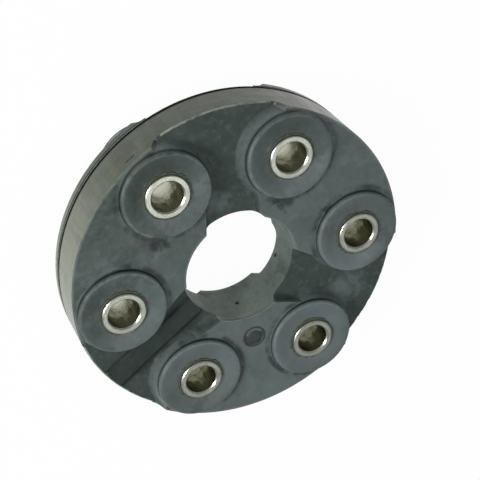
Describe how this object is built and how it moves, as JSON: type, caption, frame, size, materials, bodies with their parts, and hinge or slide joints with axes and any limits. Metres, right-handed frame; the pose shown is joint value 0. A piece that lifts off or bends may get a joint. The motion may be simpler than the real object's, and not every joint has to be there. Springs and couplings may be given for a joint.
{
  "type": "flexible disc coupling",
  "caption": "Flexible shaft coupling disc: moulded rubber ring with raised bosses, embedded steel bolt sleeves and open channels between bosses.",
  "frame": {"origin": "centre of the disc on its axis, at the middle of the thickness", "axes": "+Z along the disc's axis out of the front face, +X through the axis of sleeve 1; the disc lies flat"},
  "size_m": [0.1316, 0.1316, 0.03],
  "materials": {
    "rubber": "matte moulded",
    "sleeve_steel": "turned",
    "collar_steel": "stamped",
    "cord": "wound cord"
  },
  "bodies": {
    "root": {"rubber_body": "rubber", "sleeve_1": "sleeve_steel", "sleeve_2": "sleeve_steel", "sleeve_3": "sleeve_steel", "sleeve_4": "sleeve_steel", "sleeve_5": "sleeve_steel", "sleeve_6": "sleeve_steel", "collar_front_1": "collar_steel", "collar_front_2": "collar_steel", "collar_front_3": "collar_steel", "collar_front_4": "collar_steel", "collar_front_5": "collar_steel", "collar_front_6": "collar_steel", "collar_rear_1": "collar_steel", "collar_rear_2": "collar_steel", "collar_rear_3": "collar_steel", "collar_rear_4": "collar_steel", "collar_rear_5": "collar_steel", "collar_rear_6": "collar_steel", "cord_pack_front_1": "cord", "cord_pack_front_2": "cord", "cord_pack_front_3": "cord", "cord_pack_middle_1": "cord", "cord_pack_middle_2": "cord", "cord_pack_middle_3": "cord", "cord_pack_rear_1": "cord", "cord_pack_rear_2": "cord", "cord_pack_rear_3": "cord"}
  },
  "joints": []
}
